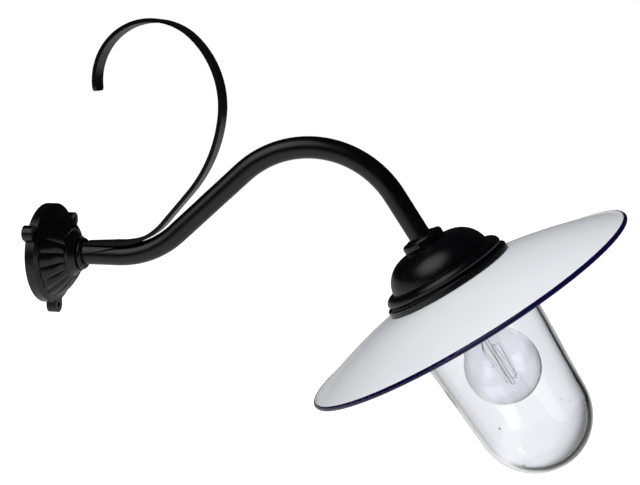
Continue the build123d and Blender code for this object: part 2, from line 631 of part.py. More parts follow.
# ---- glass holder ----------------------------------------------------------------------------
flange_top = seat_depth + SHADE_T
holder_r = seat_r - HOLDER_EDGE_IN
flange_under = flange_top + HOLDER_FLANGE_T
thread_bore_r = JAR_NECK_R + JAR_THREAD + JAR_THREAD_GAP
holder = outline((HOLDER_LIP_R, flange_top), (holder_r, flange_top), (holder_r, flange_under),
                 (thread_bore_r + HOLDER_WALL, flange_under),
                 (thread_bore_r + HOLDER_WALL, flange_under + HOLDER_SKIRT),
                 (thread_bore_r, flange_under + HOLDER_SKIRT), (thread_bore_r, flange_under),
                 (HOLDER_LIP_R, flange_under))
jar_top = flange_under + REST_GAP + JAR_GASKET_T
jar_thread_depth = jar_top + JAR_THREAD_W / 2 + JAR_PITCH / 2
holder += thread_ridge(thread_bore_r, JAR_THREAD, JAR_THREAD_W, JAR_PITCH, JAR_THREAD_TURNS,
                       jar_thread_depth - JAR_PITCH / 2, inside=True)
holder_screws = []
for angle in holder_spots:
    holder -= Rot(0, 0, angle) * rod(HOLDER_SCREW_D + SCREW_PASS, (HOLDER_SCREW_R, 0, flange_top - 1),
                                     HOLDER_FLANGE_T + 2)
    holder_screws.append(Rot(0, 0, angle) * Pos(HOLDER_SCREW_R, 0, flange_under) * pan_screw(
        HOLDER_SCREW_D, HOLDER_HEAD_D, HOLDER_HEAD_T,
        HOLDER_FLANGE_T + SHADE_T + HOLDER_SCREW_BITE - SCREW_END_GAP))
keep("glass_holder", on_head(holder))
keep("holder_screws", on_head(Compound(children=holder_screws)))

# ---- glass jar and its gasket ----------------------------------------------------------------
keep("jar_gasket", on_head(outline(
    (JAR_NECK_R - JAR_NECK_WALL, jar_top - JAR_GASKET_T), (JAR_NECK_R, jar_top - JAR_GASKET_T),
    (JAR_NECK_R, jar_top), (JAR_NECK_R - JAR_NECK_WALL, jar_top))))
taper_tan = math.tan(math.radians(JAR_TAPER))
taper_cos = math.cos(math.radians(JAR_TAPER))
taper_sin = math.sin(math.radians(JAR_TAPER))
neck_end = jar_top + JAR_NECK_H
shoulder_end = neck_end + JAR_SHOULDER_H
bowl_r = (JAR_SHOULDER_R - (JAR_BOWL_DEPTH - shoulder_end) * taper_tan) * taper_cos
diagonal = math.sqrt(0.5)


def jar_body(wall, neck_r, top):
    """Solid of the jar's outer form, or of its hollow when wall is set."""
    ball = bowl_r - wall
    shoulder_r = JAR_SHOULDER_R - wall / taper_cos
    start = neck_end + wall
    reach = shoulder_r - neck_r
    drop = shoulder_end - neck_end
    return lathe(
        Polyline((0, 0, top), (neck_r, 0, top), (neck_r, 0, start)),
        ThreePointArc((neck_r, 0, start), (neck_r + diagonal * reach, 0, start + drop * (
            1 - diagonal)), (shoulder_r - drop * taper_tan, 0, start + drop)),
        Line((shoulder_r - drop * taper_tan, 0, start + drop),
             (ball * taper_cos, 0, JAR_BOWL_DEPTH + ball * taper_sin)),
        ThreePointArc((ball * taper_cos, 0, JAR_BOWL_DEPTH + ball * taper_sin),
                      (ball * diagonal, 0, JAR_BOWL_DEPTH + ball * diagonal),
                      (0, 0, JAR_BOWL_DEPTH + ball)),
        Line((0, 0, JAR_BOWL_DEPTH + ball), (0, 0, top)))


jar = jar_body(0, JAR_NECK_R, jar_top)
jar += thread_ridge(JAR_NECK_R, JAR_THREAD, JAR_THREAD_W, JAR_PITCH, JAR_THREAD_TURNS,
                    jar_thread_depth)
jar -= jar_body(JAR_WALL, JAR_NECK_R - JAR_NECK_WALL, jar_top - 1)
keep("glass_jar", on_head(jar))

# ---- lampholder bracket ----------------------------------------------------------------------
bracket_under = BRACKET_DEPTH + BRACKET_T
tab_end = EARTH_TAB_X + EARTH_NUT_W / 2 + 1
bracket = Pos(0, 0, BRACKET_DEPTH) * extrude(Rectangle(
    BRACKET_W, 2 * (BRACKET_SCREW_R + BRACKET_END)), BRACKET_T)
bracket += Pos(-tab_end / 2, 0, BRACKET_DEPTH) * extrude(Rectangle(tab_end, EARTH_TAB_W), BRACKET_T)
bracket_screws = []
for x, y in bracket_spots:
    bracket -= rod(BRACKET_SCREW_D + SCREW_PASS, (x, y, BRACKET_DEPTH - 1), BRACKET_T + 2)
    bracket_screws.append(Pos(x, y, bracket_under) * pan_screw(
        BRACKET_SCREW_D, BRACKET_HEAD_D, BRACKET_HEAD_T, BRACKET_T + BRACKET_SCREW_BITE - SCREW_END_GAP))
body_screws = []
body_fix_spots = [(0, side * BODY_FIX_R) for side in (-1, 1)]
for x, y in body_fix_spots:
    bracket -= rod(BRACKET_SCREW_D + SCREW_PASS, (x, y, BRACKET_DEPTH - 1), BRACKET_T + 2)
    body_screws.append(Pos(x, y, BRACKET_DEPTH) * Rot(180, 0, 0) * pan_screw(
        BRACKET_SCREW_D, BRACKET_HEAD_D, BRACKET_HEAD_T, BRACKET_T + BODY_SCREW_BITE - SCREW_END_GAP))
earth_x = -EARTH_TAB_X
bracket -= rod(BRACKET_SCREW_D + SCREW_PASS, (earth_x, 0, BRACKET_DEPTH - 1), BRACKET_T + 2)
keep("lampholder_bracket", on_head(bracket))
keep("bracket_screws", on_head(Compound(children=bracket_screws)))
keep("lampholder_screws", on_head(Compound(children=body_screws)))

# earth lug on the bracket's tab: a flat eye with an upright barrel round the wire's end
lug_top = BRACKET_DEPTH - EARTH_LUG_T
barrel_r = wire_r + WIRE_FIT + EARTH_BARREL_WALL
lug_long = EARTH_TAB_X - TERMINAL_X + EARTH_TAB_W / 2 + barrel_r
lug = Pos(-TERMINAL_X + barrel_r - lug_long / 2, 0, lug_top) * extrude(
    Rectangle(lug_long, EARTH_TAB_W - 1), EARTH_LUG_T)
lug += rod(2 * barrel_r, (-TERMINAL_X, 0, lug_top - EARTH_BARREL_H), EARTH_BARREL_H)
lug -= rod(WIRE_D + 2 * WIRE_FIT, (-TERMINAL_X, 0, lug_top - EARTH_BARREL_H - 1),
           EARTH_BARREL_H + 1)
lug -= rod(BRACKET_SCREW_D + SCREW_PASS, (earth_x, 0, lug_top - 1), EARTH_LUG_T + 2)
keep("earth_lug", on_head(lug))
keep("earth_lug_screw", on_head(Pos(earth_x, 0, lug_top) * Rot(180, 0, 0) * pan_screw(
    BRACKET_SCREW_D, BRACKET_HEAD_D, BRACKET_HEAD_T, EARTH_LUG_T + BRACKET_T + EARTH_NUT_H + 0.5)))
nut = Pos(earth_x, 0, bracket_under) * extrude(
    RegularPolygon(EARTH_NUT_W / 2, 6, major_radius=False) - Circle(BRACKET_SCREW_D / 2 + SLIP),
    EARTH_NUT_H)
keep("earth_lug_nut", on_head(nut))

# ---- lampholder ------------------------------------------------------------------------------
body_top = bracket_under
floor = body_top + BODY_FLOOR
shell_in_r = LAMP_CAP_R + LAMP_THREAD + LAMP_THREAD_GAP
shell_out_r = shell_in_r + SHELL_T
body = rod(2 * BODY_R, (0, 0, body_top), BODY_H)
body -= rod(2 * (shell_out_r + SLIP), (0, 0, floor), BODY_H)
for x, y in body_fix_spots:
    body -= rod(BRACKET_SCREW_D + 2 * SLIP, (x, y, body_top - 1), BODY_SCREW_BITE + 1)
terminal_top = body_top + TERMINAL_SINK
terminal_screw_depth = terminal_top + WIRE_IN_TERMINAL / 2
terminals = []
terminal_screws = []
for y in (-WIRE_PITCH, WIRE_PITCH):
    body -= Pos(TERMINAL_X, y, body_top - 1) * extrude(Rectangle(
        TERMINAL_L + 2 * TERMINAL_FIT, TERMINAL_W + 2 * TERMINAL_FIT), 1 + TERMINAL_SINK + TERMINAL_H)
    screw_hole = rod(TERMINAL_SCREW_D + 2 * SLIP, (TERMINAL_X, y, terminal_screw_depth), BODY_R,
                     (1, 0, 0))
    body -= screw_hole
    terminal = Pos(TERMINAL_X, y, terminal_top) * extrude(Rectangle(TERMINAL_L, TERMINAL_W),
                                                          TERMINAL_H)
    terminal -= rod(WIRE_D + 2 * WIRE_FIT, (TERMINAL_X, y, terminal_top - 1),
                    WIRE_IN_TERMINAL + 1)
    terminals.append(terminal - screw_hole)
    terminal_screws.append(rod(TERMINAL_SCREW_D, (TERMINAL_X + wire_r, y, terminal_screw_depth),
                               TERMINAL_L / 2, (1, 0, 0)))
rivet_x = -(LEAF_BACK - RIVET_HEAD_D / 2)
rivet_hole = rod(RIVET_D + 2 * SLIP, (rivet_x, 0, floor - 6), 7)
keep("lampholder_body", on_head(body - rivet_hole))
keep("lampholder_terminals", on_head(Compound(children=terminals)))
keep("lampholder_terminal_screws", on_head(Compound(children=terminal_screws)))

lamp_tip = floor + LEAF_RISE + LAMP_CONTACT_GAP
lamp_cap_top = lamp_tip + LAMP_CONTACT_T + LAMP_INSULATOR_H
lamp_thread_depth = lamp_cap_top + LAMP_THREAD_W + LAMP_THREAD_GAP
shell = outline((SHELL_FLANGE_R, floor), (shell_out_r, floor), (shell_out_r, floor + SHELL_H),
                (shell_in_r, floor + SHELL_H), (shell_in_r, floor + SHELL_T),
                (SHELL_FLANGE_R, floor + SHELL_T))
shell += thread_ridge(shell_in_r, LAMP_THREAD, LAMP_THREAD_W, LAMP_PITCH, LAMP_THREAD_TURNS,
                      lamp_thread_depth - LAMP_PITCH / 2, inside=True)
keep("lampholder_shell", on_head(shell))

leaf_top = floor + LEAF_RISE
leaf_side = Polyline((-LEAF_BACK, 0, floor), (LEAF_FRONT, 0, floor), (LEAF_FRONT, 0, floor + 0.8),
                     (LEAF_FRONT - 4.4, 0, leaf_top), (-LEAF_FRONT / 2, 0, leaf_top),
                     (-LEAF_FRONT / 2, 0, leaf_top - LEAF_T), (LEAF_FRONT - 4.7, 0, leaf_top - LEAF_T),
                     (LEAF_FRONT - 1.1, 0, floor + LEAF_T), (-LEAF_BACK, 0, floor + LEAF_T),
                     close=True)
leaf = extrude(make_face(leaf_side), LEAF_W / 2, both=True)
keep("centre_contact", on_head(leaf - rivet_hole))
rivet = rod(RIVET_D, (rivet_x, 0, floor - 5.5), 5.5 + LEAF_T) + rod(
    RIVET_HEAD_D, (rivet_x, 0, floor + LEAF_T), RIVET_HEAD_T)
keep("centre_contact_rivet", on_head(rivet))

# ---- lamp ------------------------------------------------------------------------------------
keep("lamp_contact", on_head(outline((0, lamp_tip), (LAMP_CONTACT_R * 0.6, lamp_tip),
                                     (LAMP_CONTACT_R, lamp_tip + LAMP_CONTACT_T),
                                     (0, lamp_tip + LAMP_CONTACT_T))))
cap_in_r = LAMP_CAP_R - LAMP_CAP_T
insulator_top = lamp_tip + LAMP_CONTACT_T
keep("lamp_insulator", on_head(outline(
    (0, insulator_top), (LAMP_CONTACT_R, insulator_top), (cap_in_r - SLIP, lamp_cap_top),
    (cap_in_r - SLIP, lamp_cap_top + LAMP_CONTACT_T), (0, lamp_cap_top + LAMP_CONTACT_T))))
lamp_cap_end = lamp_cap_top + LAMP_CAP_H
lamp_cap = outline((cap_in_r, lamp_cap_top), (LAMP_CAP_R, lamp_cap_top),
                   (LAMP_CAP_R, lamp_cap_end), (cap_in_r, lamp_cap_end))
lamp_cap += thread_ridge(LAMP_CAP_R, LAMP_THREAD, LAMP_THREAD_W, LAMP_PITCH, LAMP_THREAD_TURNS,
                         lamp_thread_depth)
keep("lamp_cap", on_head(lamp_cap))

flare_sin = math.sin(math.radians(LAMP_FLARE))
flare_cos = math.cos(math.radians(LAMP_FLARE))


flare_depth = lamp_cap_end + LAMP_NECK_DRAW + LAMP_NECK_H
ball_depth = flare_depth + LAMP_BALL_R * flare_sin + (
    LAMP_BALL_R * flare_cos - LAMP_NECK_R) * flare_cos / flare_sin


def lamp_body(wall, top):
    """Solid of the lamp glass, or of its hollow when wall is set."""
    ball = LAMP_BALL_R - wall
    stem_r = cap_in_r - SLIP - wall
    neck_r = LAMP_NECK_R - wall
    touch_r = ball * flare_cos
    touch_depth = ball_depth - ball * flare_sin
    neck_depth = touch_depth - (touch_r - neck_r) * flare_cos / flare_sin
    return lathe(
        Polyline((0, 0, top), (stem_r, 0, top), (stem_r, 0, lamp_cap_end),
                 (neck_r, 0, lamp_cap_end + LAMP_NECK_DRAW), (neck_r, 0, neck_depth),
                 (touch_r, 0, touch_depth)),
        ThreePointArc((touch_r, 0, touch_depth),
                      (ball * diagonal, 0, ball_depth + ball * diagonal),
                      (0, 0, ball_depth + ball)),
        Line((0, 0, ball_depth + ball), (0, 0, top)))


glass_start = lamp_cap_end - 8
keep("lamp_glass", on_head(lamp_body(0, glass_start) - lamp_body(LAMP_GLASS_T, glass_start - 1)))

stem_foot_r = cap_in_r - 2 * SLIP - LAMP_GLASS_T
rod_r = STEM_ROD_D / 2
stem_start = lamp_cap_end - STEM_PRESS_H
press_depth = ball_depth - STEM_PRESS_UP
rod_end = ball_depth + STEM_ROD_END
keep("lamp_stem", on_head(outline(
    (0, stem_start), (stem_foot_r, stem_start), (STEM_TUBE_R, stem_start + STEM_FLARE_H),
    (STEM_TUBE_R, press_depth - STEM_PRESS_H), (rod_r, press_depth),
    (rod_r, rod_end - rod_r / 3), (rod_r * 2 / 3, rod_end), (0, rod_end))))

# filament: a cage of straight runs, up and down between two rings of hooks
filament_turns = [FILAMENT_SPREAD * (step / FILAMENT_RUNS - 0.5)
                  for step in range(FILAMENT_RUNS + 1)]


def on_cage(step):
    depth = ball_depth + (FILAMENT_DOWN if step % 2 else -FILAMENT_UP)
    flat = Vector(FILAMENT_R, 0).rotate(Axis.Z, filament_turns[step])
    return Vector(flat.X, flat.Y, depth)


cage_points = [on_cage(step) for step in range(FILAMENT_RUNS + 1)]


def wire_between(a, b, d):
    return rod(d, a, (b - a).length, b - a)


filament = wire_between(cage_points[0], cage_points[1], FILAMENT_D)
for a, b in zip(cage_points[1:], cage_points[2:]):
    filament += Pos(a) * Sphere(FILAMENT_D / 2) + wire_between(a, b, FILAMENT_D)
keep("lamp_filament", on_head(filament))
hook_in = (FILAMENT_R - FILAMENT_D / 2 - SLIP) / FILAMENT_R
supports = [wire_between(Vector(p.X * rod_r / FILAMENT_R, p.Y * rod_r / FILAMENT_R, p.Z),
                         Vector(p.X * hook_in, p.Y * hook_in, p.Z), SUPPORT_D)
            for p in cage_points[1:-1]]
keep("lamp_supports", on_head(Compound(children=supports)))
lead_in = (rod_r + LEAD_D) / FILAMENT_R
leads = [wire_between(Vector(p.X * lead_in, p.Y * lead_in, press_depth), p - Vector(0, 0, LEAD_D / 2),
                      LEAD_D) for p in (cage_points[0], cage_points[-1])]
keep("lamp_leads", on_head(Compound(children=leads)))

# ---- wires and grommets ----------------------------------------------------------------------
sway = math.degrees(math.acos(1 - TERMINAL_X / (2 * WIRE_SWAY_R)))
sway_long = 2 * WIRE_SWAY_R * math.sin(math.radians(sway))
wire_end = {-1: terminal_top + WIRE_IN_TERMINAL, 1: terminal_top + WIRE_IN_TERMINAL,
            0: lug_top - SLIP}
for name, row in (("wire_neutral", -1), ("wire_earth", 0), ("wire_line", 1)):
    side = -1 if row == 0 else 1
    start_z = BLOCK_TOP_Z - BLOCK_ENTRY
    wire_edges = route((BLOCK_X, start_z), 90, -start_z - WIRE_BEND_R, (WIRE_BEND_R, -90),
                       ARM_OUT - BLOCK_X - WIRE_BEND_R, *arm_moves[1:-1],
                       DROP_RUN + WIRE_SWAY_DEPTH, (WIRE_SWAY_R, side * sway),
                       (WIRE_SWAY_R, -side * sway), wire_end[row] - WIRE_SWAY_DEPTH - sway_long)
    wire_path = upright(wire_edges, row * WIRE_PITCH)
    keep(name, sweep(square_to(wire_path) * Circle(wire_r), path=wire_path))


def grommet():
    """Rubber plug with three wire holes: its flange is under Z = 0, its plug above."""
    plug = rod(GROMMET_FLANGE_D, (0, 0, -GROMMET_FLANGE_T), GROMMET_FLANGE_T)
    plug += rod(2 * (bore_r - SLIP), (0, 0, 0), GROMMET_PLUG)
    for across in wire_rows:
        plug -= rod(WIRE_D + 2 * SLIP, (0, across, -GROMMET_FLANGE_T - 1), GROMMET_PLUG + 4)
    return plug


keep("wall_grommet", Plane((TUBE_START, 0, 0), x_dir=(0, 0, 1), z_dir=(1, 0, 0)).location * grommet())
keep("head_grommet", on_head(Pos(0, 0, SOCKET_DEPTH + SOCKET_LIP) * Rot(180, 0, 0) * grommet()))
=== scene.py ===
import json
import math

import bmesh
import bpy
from mathutils import Matrix, Vector


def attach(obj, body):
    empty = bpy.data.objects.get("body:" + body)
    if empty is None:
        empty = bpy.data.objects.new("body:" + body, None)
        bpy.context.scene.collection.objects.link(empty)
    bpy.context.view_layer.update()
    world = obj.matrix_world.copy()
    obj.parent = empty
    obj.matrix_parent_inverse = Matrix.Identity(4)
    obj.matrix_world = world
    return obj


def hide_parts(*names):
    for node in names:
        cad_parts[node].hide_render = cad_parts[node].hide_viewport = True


# Gooseneck wall sconce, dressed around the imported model. Metres; +X out of the wall, +Z up.

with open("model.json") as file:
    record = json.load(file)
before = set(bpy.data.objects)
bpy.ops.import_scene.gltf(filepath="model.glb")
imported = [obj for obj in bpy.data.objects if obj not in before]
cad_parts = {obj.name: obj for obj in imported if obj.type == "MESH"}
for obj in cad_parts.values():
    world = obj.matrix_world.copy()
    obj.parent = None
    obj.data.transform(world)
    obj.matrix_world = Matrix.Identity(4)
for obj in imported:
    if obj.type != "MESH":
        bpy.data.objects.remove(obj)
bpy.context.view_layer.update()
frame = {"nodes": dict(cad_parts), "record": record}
MM = 0.001
WHITE = (1.0, 1.0, 1.0, 1.0)

# ---- the photograph's view -------------------------------------------------------------------
VIEW_AZIMUTH = math.radians(11.0)
VIEW_ELEVATION = math.radians(9.8)
VIEW_TARGET = Vector((0.292, 0.0, 0.020))
VIEW_DISTANCE = 1.041
VIEW_CLIP_START = 0.01
FOCAL_PIXELS = 1045.0
IMAGE_WIDTH = 640
SENSOR_WIDTH = 36.0

# ---- the head's own frame, as in the part's source -------------------------------------------
HEAD_ORIGIN = Vector((0.391193, 0.0, 0.030393))
HEAD_AXIS = Vector((0.547563, 0.0, -0.836764))
HEAD_ACROSS = Vector((-HEAD_AXIS.z, 0.0, HEAD_AXIS.x))
HEAD = Matrix((
    (HEAD_ACROSS.x, 0.0, HEAD_AXIS.x, HEAD_ORIGIN.x),
    (0.0, -1.0, 0.0, 0.0),
    (HEAD_ACROSS.z, 0.0, HEAD_AXIS.z, HEAD_ORIGIN.z),
    (0.0, 0.0, 0.0, 1.0)))

# ---- the studio ------------------------------------------------------------------------------
ROOM_FILL = 0.35                        # what lights matt surfaces from all round
# direction of each dark screen, the cosines between which it comes in, and how dark it is
SCREENS = (((0.90, 0.30, -0.30), (0.48, 0.72), 0.02),
           ((-0.90, 0.30, -0.20), (0.50, 0.85), 0.35),
           ((0.42, 0.20, -0.88), (0.74, 0.90), 0.02))
CANOPY_TOWARDS = (-0.52, -0.54, 0.66)   # the one bright patch that gloss mirrors
CANOPY_EDGE = (0.80, 1.0)
CANOPY_LIGHT = 1.5
STUDIO_DARK = 0.012                     # what gloss mirrors elsewhere
# name, place, aim, size in metres and power in watts
SOFTBOXES = (("key_softbox", (-0.5, -1.3, 1.3), (0.3, 0.0, 0.0), (1.2, 1.2), 26.0),
             ("fill_softbox", (1.6, -0.9, 0.5), (0.3, 0.0, 0.0), (0.9, 1.4), 6.0),
             ("top_softbox", (0.4, 0.4, 1.5), (0.4, 0.0, 0.0), (1.4, 1.0), 8.0))
FLOOR_DEPTH = -0.75
FLOOR_HALF = 6.0
FLOOR_TONE = (0.8, 0.8, 0.8)
FLOOR_ROUGHNESS = 0.9
FLOOR_GLOW = (0.5, 0.9)                 # added for the camera, near the middle and far out
FLOOR_GLOW_FROM = (1.2, 2.4)            # distances between which it grows
GLASS_AT = (0.47, 0.0, -0.10)           # the jar, from which the floor looks like the screens


def add_camera():
    back = Vector((math.sin(VIEW_AZIMUTH) * math.cos(VIEW_ELEVATION),
                   -math.cos(VIEW_AZIMUTH) * math.cos(VIEW_ELEVATION),
                   math.sin(VIEW_ELEVATION)))
    data = bpy.data.cameras.new("photo_view")
    data.sensor_fit = "HORIZONTAL"
    data.sensor_width = SENSOR_WIDTH
    data.lens = FOCAL_PIXELS / IMAGE_WIDTH * SENSOR_WIDTH
    data.clip_start = VIEW_CLIP_START
    camera = bpy.data.objects.new("photo_view", data)
    camera.location = VIEW_TARGET + VIEW_DISTANCE * back
    camera.rotation_euler = back.to_track_quat("Z", "Y").to_euler()
    bpy.context.scene.collection.objects.link(camera)
    bpy.context.scene.camera = camera


def add_softbox(name, place, aim, size, power):
    """A rectangular lamp that lights the object but is seen neither directly nor in gloss."""
    data = bpy.data.lights.new(name, "AREA")
    data.shape = "RECTANGLE"
    data.size, data.size_y = size
    data.energy = power
    lamp = bpy.data.objects.new(name, data)
    lamp.location = place
    lamp.rotation_euler = (Vector(place) - Vector(aim)).to_track_quat("Z", "Y").to_euler()
    lamp.visible_camera = False
    lamp.visible_glossy = False
    bpy.context.scene.collection.objects.link(lamp)


# ---- shader nodes ----------------------------------------------------------------------------
def new_group(name, inputs, outputs):
    group = bpy.data.node_groups.new(name, "ShaderNodeTree")
    for label, kind in inputs:
        group.interface.new_socket(name=label, in_out="INPUT", socket_type=kind)
    for label, kind in outputs:
        group.interface.new_socket(name=label, in_out="OUTPUT", socket_type=kind)
    return group, group.nodes.new("NodeGroupInput"), group.nodes.new("NodeGroupOutput")


def place_group(tree, group, **values):
    node = tree.nodes.new("ShaderNodeGroup")
    node.node_tree = group
    for label, value in values.items():
        node.inputs[label.replace("_", " ")].default_value = value
    return node


def feed(tree, socket, value):
    """Set a socket to a number, or link another node's output to it."""
    if isinstance(value, (int, float)):
        socket.default_value = value
    else:
        tree.links.new(value, socket)


def math_node(tree, operation, first, second=None):
    node = tree.nodes.new("ShaderNodeMath")
    node.operation = operation
    feed(tree, node.inputs[0], first)
    if second is not None:
        feed(tree, node.inputs[1], second)
    return node.outputs[0]


def vector_node(tree, operation, vector, constant=None):
    node = tree.nodes.new("ShaderNodeVectorMath")
    node.operation = operation
    tree.links.new(vector, node.inputs[0])
    if constant is not None:
        node.inputs[1].default_value = constant
    return node.outputs["Value" if operation in ("DOT_PRODUCT", "LENGTH") else "Vector"]


def noise_node(tree, vector, scale, detail, rough):
    node = tree.nodes.new("ShaderNodeTexNoise")
    for label, value in (("Vector", vector), ("Scale", scale), ("Detail", detail),
                         ("Roughness", rough)):
        feed(tree, node.inputs[label], value)
    return node.outputs["Fac"]


def span(tree, value, low, high, from_low=0.3, from_high=0.7):
    """Carry a value's range over to another; the default is where noise mostly lies."""
    node = tree.nodes.new("ShaderNodeMapRange")
    tree.links.new(value, node.inputs["Value"])
    node.inputs["From Min"].default_value = from_low
    node.inputs["From Max"].default_value = from_high
    node.inputs["To Min"].default_value = low
    node.inputs["To Max"].default_value = high
    return node.outputs["Result"]


def mix_colour(tree, factor, first, second):
    node = tree.nodes.new("ShaderNodeMix")
    node.data_type = "RGBA"
    tree.links.new(factor, node.inputs["Factor"])
    for socket, value in ((node.inputs["A"], first), (node.inputs["B"], second)):
        if isinstance(value, tuple):
            socket.default_value = (*value, 1.0)
        else:
            tree.links.new(value, socket)
    return node.outputs["Result"]


def add_bump(tree, shader, height, distance):
    bump = tree.nodes.new("ShaderNodeBump")
    bump.inputs["Strength"].default_value = 1.0
    bump.inputs["Distance"].default_value = distance
    tree.links.new(height, bump.inputs["Height"])
    tree.links.new(bump.outputs["Normal"], shader.inputs["Normal"])


def direction_ramp(tree, coords, towards, edge, low, high):
    """A smooth strength over the sky, high where the ray points towards a direction."""
    dot = vector_node(tree, "DOT_PRODUCT", coords, Vector(towards).normalized())
    ramp = tree.nodes.new("ShaderNodeMapRange")
    ramp.interpolation_type = "SMOOTHSTEP"
    ramp.inputs["From Min"].default_value, ramp.inputs["From Max"].default_value = edge
    ramp.inputs["To Min"].default_value = low
    ramp.inputs["To Max"].default_value = high
    tree.links.new(dot, ramp.inputs["Value"])
    return ramp.outputs["Result"]


def make_unevenness():
    """Fine grain for bump, a slow mottle for roughness, both from object coordinates."""
    group, given, result = new_group(
        "surface_unevenness",
        (("Grain per metre", "NodeSocketFloat"), ("Mottle per metre", "NodeSocketFloat")),
        (("Grain", "NodeSocketFloat"), ("Mottle", "NodeSocketFloat")))
    coords = group.nodes.new("ShaderNodeTexCoord").outputs["Object"]
    grain = noise_node(group, coords, given.outputs["Grain per metre"], 2.0, 0.55)
    mottle = noise_node(group, coords, given.outputs["Mottle per metre"], 4.0, 0.6)
    group.links.new(grain, result.inputs["Grain"])
    group.links.new(mottle, result.inputs["Mottle"])
    return group


def make_head_distance():
    """Distance from the head's axis, in metres."""
    group, _, result = new_group("head_distance", (), (("Radius", "NodeSocketFloat"),))
    coords = group.nodes.new("ShaderNodeTexCoord").outputs["Object"]
    offset = vector_node(group, "SUBTRACT", coords, HEAD_ORIGIN)
    depth = vector_node(group, "DOT_PRODUCT", offset, HEAD_AXIS)
    far = vector_node(group, "LENGTH", offset)
    square = math_node(group, "SUBTRACT", math_node(group, "POWER", far, 2.0),
                       math_node(group, "POWER", depth, 2.0))
    radius = math_node(group, "SQRT", math_node(group, "MAXIMUM", square, 0.0))
    group.links.new(radius, result.inputs["Radius"])
    return group


def make_backdrop():
    """What shows through the glass: white but for dark screens at the sides and below."""
    group, given, result = new_group("backdrop_by_direction",
                                     (("Direction", "NodeSocketVector"),),
                                     (("Light", "NodeSocketFloat"),))
    light = None
    for towards, edge, dark in SCREENS:
        ramp = direction_ramp(group, given.outputs["Direction"], towards, edge, 1.0, dark)
        light = ramp if light is None else math_node(group, "MULTIPLY", light, ramp)
    group.links.new(light, result.inputs["Light"])
    return group


UNEVEN = make_unevenness()
HEAD_DISTANCE = make_head_distance()
BACKDROP = make_backdrop()


def add_world():
    """White to the camera, an even fill for matt surfaces, a plain studio for gloss and glass."""
    world = bpy.data.worlds.new("studio")
    world.use_nodes = True
    tree = world.node_tree
    tree.nodes.clear()
    coords = tree.nodes.new("ShaderNodeTexCoord").outputs["Generated"]
    rays = tree.nodes.new("ShaderNodeLightPath")
    backdrop = place_group(tree, BACKDROP)
    tree.links.new(coords, backdrop.inputs["Direction"])
    canopy = direction_ramp(tree, coords, CANOPY_TOWARDS, CANOPY_EDGE, STUDIO_DARK, CANOPY_LIGHT)
    strength = ROOM_FILL
    for seen_by, light in (("Is Glossy Ray", canopy),
                           ("Is Transmission Ray", backdrop.outputs["Light"]),
                           ("Is Camera Ray", 1.0)):
        mix = tree.nodes.new("ShaderNodeMix")
        tree.links.new(rays.outputs[seen_by], mix.inputs["Factor"])
        feed(tree, mix.inputs["A"], strength)
        feed(tree, mix.inputs["B"], light)
        strength = mix.outputs["Result"]
    sky = tree.nodes.new("ShaderNodeBackground")
    sky.inputs["Color"].default_value = WHITE
    tree.links.new(strength, sky.inputs["Strength"])
    out = tree.nodes.new("ShaderNodeOutputWorld")
    tree.links.new(sky.outputs["Background"], out.inputs["Surface"])
    bpy.context.scene.world = world


# ---- materials -------------------------------------------------------------------------------
def new_material(name, colour, roughness, metallic=0.0, **plain):
    material = bpy.data.materials.new(name)
    material.use_nodes = True
    tree = material.node_tree
    shader = tree.nodes["Principled BSDF"]
    shader.inputs["Base Color"].default_value = (*colour, 1.0)
    shader.inputs["Roughness"].default_value = roughness
    shader.inputs["Metallic"].default_value = metallic
    for label, value in plain.items():
        shader.inputs[label.replace("_", " ")].default_value = value
    return material, tree, shader


def uneven_finish(name, colour, second, roughness, grain, mottle, bump, metallic=0.0):
    """A finish with two close tones, a roughness that wanders and a fine bump."""
    material, tree, shader = new_material(name, colour, roughness[0], metallic)
    uneven = place_group(tree, UNEVEN, Grain_per_metre=grain, Mottle_per_metre=mottle)
    blend = span(tree, uneven.outputs["Mottle"], 0.0, 1.0)
    tree.links.new(mix_colour(tree, blend, colour, second), shader.inputs["Base Color"])
    tree.links.new(span(tree, uneven.outputs["Mottle"], *roughness), shader.inputs["Roughness"])
    add_bump(tree, shader, uneven.outputs["Grain"], bump)
    return material, tree, shader


def black_coat():
    return uneven_finish("satin_black_coat", (0.0008, 0.0008, 0.0012), (0.0012, 0.0012, 0.0017),
                         (0.22, 0.30), 900.0, 60.0, 0.00001)[0]


NAVY = (0.002, 0.001, 0.040)
EDGE_FROM = 0.1736                      # distance from the axis at which the navy starts
EDGE_FADE = 0.0003
EDGE_WANDER = 0.0003


def white_enamel():
    """Vitreous enamel: glossy white with faint waves, and a navy blue dipped edge."""
    material, tree, shader = uneven_finish(
        "white_enamel", (0.80, 0.81, 0.845), (0.765, 0.775, 0.815), (0.16, 0.24), 160.0, 18.0,
        0.00006)
    body = shader.inputs["Base Color"].links[0].from_socket
    place = place_group(tree, HEAD_DISTANCE)
    wander = place_group(tree, UNEVEN, Grain_per_metre=120.0, Mottle_per_metre=30.0)
    edge_at = math_node(tree, "ADD", place.outputs["Radius"],
                        math_node(tree, "MULTIPLY", wander.outputs["Grain"], EDGE_WANDER))
    mask = span(tree, edge_at, 0.0, 1.0, EDGE_FROM, EDGE_FROM + EDGE_FADE)
    tree.links.new(mix_colour(tree, mask, body, NAVY), shader.inputs["Base Color"])
    return material


def clear_glass(name, colour, ripple_per_metre, ripple):
    material, tree, shader = new_material(name, colour, 0.0, Transmission_Weight=1.0, IOR=1.5)
    uneven = place_group(tree, UNEVEN, Grain_per_metre=ripple_per_metre,
                         Mottle_per_metre=ripple_per_metre / 4)
    add_bump(tree, shader, uneven.outputs["Grain"], ripple)
    return material


